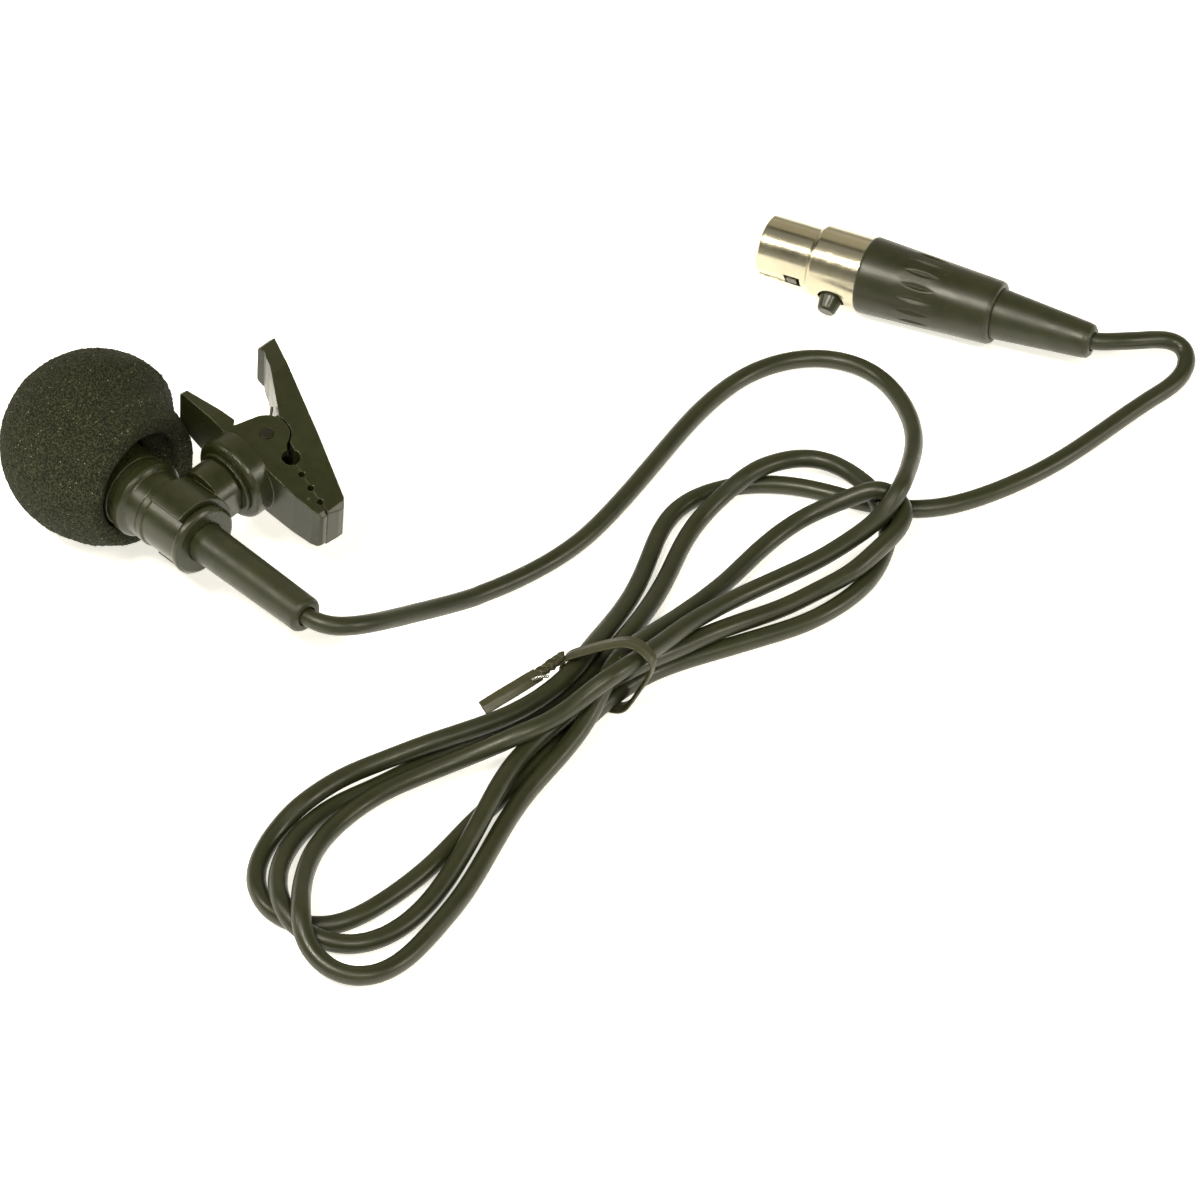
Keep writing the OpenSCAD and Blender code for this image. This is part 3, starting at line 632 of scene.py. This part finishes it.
def tie():
    c0 = np.array([56.6, 23.4])                    # the band's middle, in plan
    e = np.array([1.0, 0.49]) / math.hypot(1.0, 0.49)
    nrm = np.array([-e[1], e[0]])                  # along the runs
    C, hits = CORD, []
    for i in range(60, len(C) - 60):
        a, b = (C[i, :2] - c0) @ nrm, (C[i + 1, :2] - c0) @ nrm
        if a * b <= 0:
            q = C[i] + (C[i + 1] - C[i]) * (a / (a - b + 1e-12))
            s = (q[:2] - c0) @ e
            if abs(s) < 9:
                hits.append((s, q[2]))
    hits = np.array(hits)
    print("runs through the tie", hits.round(1).tolist())
    ring = []
    for h in hits:
        for k in range(24):
            a = 2 * math.pi * k / 24
            rr = R + 0.40
            ring.append((h[0] + rr * 1.12 * math.cos(a), max(0.34, h[1] + rr * math.sin(a))))
    H = hull2(ring)
    H = np.r_[H, H[:1]]
    L = np.r_[0, np.cumsum(np.linalg.norm(np.diff(H, axis=0), axis=1))]
    u = np.linspace(0, L[-1], 121)[:-1]
    Q = np.stack([np.interp(u, L, H[:, k]) for k in range(2)], 1)
    for r in range(7):
        Q = 0.5 * Q + 0.25 * (np.roll(Q, 1, 0) + np.roll(Q, -1, 0))
    # the band stands off the runs on the far side, in a round bow
    lo, hi = Q[:, 0].min(), Q[:, 0].max()
    far = np.clip((Q[:, 0] - (hi - 3.2)) / 3.2, 0, 1)
    zc = 0.5 * (Q[:, 1].min() + Q[:, 1].max())
    Q[:, 0] += far ** 1.5 * 1.1 * (1 - 0.25 * np.abs(Q[:, 1] - zc) / 3)
    for r in range(4):
        Q = 0.5 * Q + 0.25 * (np.roll(Q, 1, 0) + np.roll(Q, -1, 0))
    arch = np.clip((Q[:, 1] - zc) / (Q[:, 1].max() - zc), 0, 1)
    t = (Q[:, 0] - 0.5 * (Q[:, 0].min() + Q[:, 0].max()) + 0.8) / (0.5 * (Q[:, 0].max() - Q[:, 0].min()))
    Q[:, 1] += 1.0 * arch * np.clip(1 - t * t, 0, 1)
    Q[:, 1] = np.maximum(Q[:, 1], 0.34)
    swing = 0.28 * (Q[:, 1] - zc)                  # the top leans back along the runs
    path = np.c_[c0[0] + e[0] * Q[:, 0] + nrm[0] * swing, c0[1] + e[1] * Q[:, 0] + nrm[1] * swing, Q[:, 1]] + SHIFT
    nx = np.roll(Q, -1, 0) - np.roll(Q, 1, 0)
    on = np.stack([nx[:, 1], -nx[:, 0]], 1)
    on /= np.linalg.norm(on, axis=1)[:, None]
    if ((Q - Q.mean(0)) * on).sum() < 0:
        on = -on
    ups = np.c_[e[0] * on[:, 0], e[1] * on[:, 0], on[:, 1]]
    a = swept(path, RIBBON, "microphone", "tie_band", "tie_film", ups=ups, closed=True)
    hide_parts("tie_ribbon")
    # both ends wound round each other, then laid out as a tail
    k0 = int(np.argmin(Q[:, 0] - 0.55 * Q[:, 1]))
    s0 = path[k0] + np.array([-0.35, -0.1, 0.25])
    s1 = np.array([52.05, 17.4, 4.9]) + SHIFT
    for k in range(2):
        pts, upv = [], []
        for t in np.linspace(0, 1, 44):
            c = s0 * (1 - t) + s1 * t
            ang = 2 * math.pi * 1.25 * t + math.pi * k + 0.6
            rad = 0.40
            pts.append(c + np.array([rad * math.cos(ang), 0, rad * math.sin(ang)]))
            upv.append((math.cos(ang), 0.15, math.sin(ang)))
        swept(pts, [(s * 0.72, u) for s, u in RIBBON], "microphone", "tie_twist_%d" % (k + 1), "tie_film", ups=upv)
    tail = np.array([[52.05, 17.7, 4.85], [51.85, 16.0, 4.75], [51.55, 14.2, 4.5], [51.15, 12.5, 4.15], [50.75, 11.1, 3.75], [50.35, 9.9, 3.35]]) + SHIFT
    tail = finer(tail, 6)
    tp = np.linspace(0, 1, len(tail))
    upv = [(0.12 + 0.15 * math.sin(3 * t), -0.2, 1.0) for t in tp]
    swept(tail, RIBBON, "microphone", "tie_tail", "tie_film", ups=upv)
    # bare end of the wire beside the twist
    w = np.array([[52.45, 16.3, 5.2], [52.85, 16.6, 5.6], [53.35, 17.1, 5.8], [53.65, 17.8, 5.6]]) + SHIFT
    c8 = [(0.21 * math.cos(a), 0.21 * math.sin(a)) for a in np.linspace(0, 2 * math.pi, 13)[:-1]]
    b = swept(finer(w, 5), c8, "microphone", "tie_wire_end", "tie_steel")
    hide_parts("tie_wire")


tie()


# ------------------------------------------------------------------ floor and light
def floor():
    me = bpy.data.meshes.new("floor")
    s = 3.0
    me.from_pydata([(-s, -s, -0.00002), (s, -s, -0.00002), (s, s, -0.00002), (-s, s, -0.00002)], [], [(0, 1, 2, 3)])
    o = bpy.data.objects.new("floor", me)
    scene.collection.objects.link(o)
    m = bpy.data.materials.new("pale_floor")
    m.use_nodes = True
    b = m.node_tree.nodes["Principled BSDF"]
    b.inputs["Base Color"].default_value = (0.86, 0.86, 0.85, 1)
    b.inputs["Roughness"].default_value = 0.9
    b.inputs["Specular IOR Level"].default_value = 0.1
    b.inputs["Emission Color"].default_value = (1.0, 0.97, 0.88, 1)
    b.inputs["Emission Strength"].default_value = 0.72
    me.materials.append(m)


floor()


def area(name, azimuth, elevation, dist, size, watts, colour=(1, 1, 1), size_y=None, target=(0.03, 0.03, 0.0)):
    d = bpy.data.lights.new(name, "AREA")
    d.energy = watts
    d.color = colour
    d.shape = "RECTANGLE"
    d.size = size
    d.size_y = size_y or size
    o = bpy.data.objects.new(name, d)
    scene.collection.objects.link(o)
    a, e = math.radians(azimuth), math.radians(elevation)
    back = Vector((math.sin(a) * math.cos(e), -math.cos(a) * math.cos(e), math.sin(e)))
    o.location = Vector(target) + back * dist
    o.rotation_euler = (-back).to_track_quat("-Z", "Y").to_euler()


# the camera is at azimuth 45, elevation 44
area("key", 8, 59, 1.0, 0.42, 8.5, (1.0, 0.94, 0.80), 0.11)
area("front", 72, 46, 1.0, 0.15, 3.4, (1.0, 0.93, 0.78), 0.15)
area("left", -48, 38, 1.1, 0.20, 3.4, (1.0, 0.94, 0.80), 0.34)
area("right", 120, 24, 1.1, 0.20, 3.2, (1.0, 0.94, 0.80), 0.28)
area("sun", 10, 80, 1.4, 1.2, 1.3, (1.0, 0.98, 0.90))
area("back", 218, 40, 1.3, 1.7, 2.4, (1.0, 0.91, 0.68), 1.0)

world = bpy.data.worlds.new("studio")
scene.world = world
world.use_nodes = True
wt = world.node_tree
bg = wt.nodes["Background"]
tc = wt.nodes.new("ShaderNodeTexCoord")
sep = wt.nodes.new("ShaderNodeSeparateXYZ")
rampn = wt.nodes.new("ShaderNodeValToRGB")
wt.links.new(tc.outputs["Generated"], sep.inputs[0])
wt.links.new(sep.outputs["Z"], rampn.inputs["Fac"])
el = rampn.color_ramp.elements
el[0].position, el[0].color = 0.0, (0.62, 0.60, 0.52, 1)
el[1].position, el[1].color = 0.60, (0.045, 0.046, 0.032, 1)
e2 = el.new(0.22)
e2.color = (0.36, 0.345, 0.29, 1)
wt.links.new(rampn.outputs["Color"], bg.inputs["Color"])
bg.inputs["Strength"].default_value = 1.0

scene.view_settings.view_transform = "Standard"
scene.view_settings.look = "None"
scene.view_settings.exposure = 0.0
scene.view_settings.gamma = 1.0
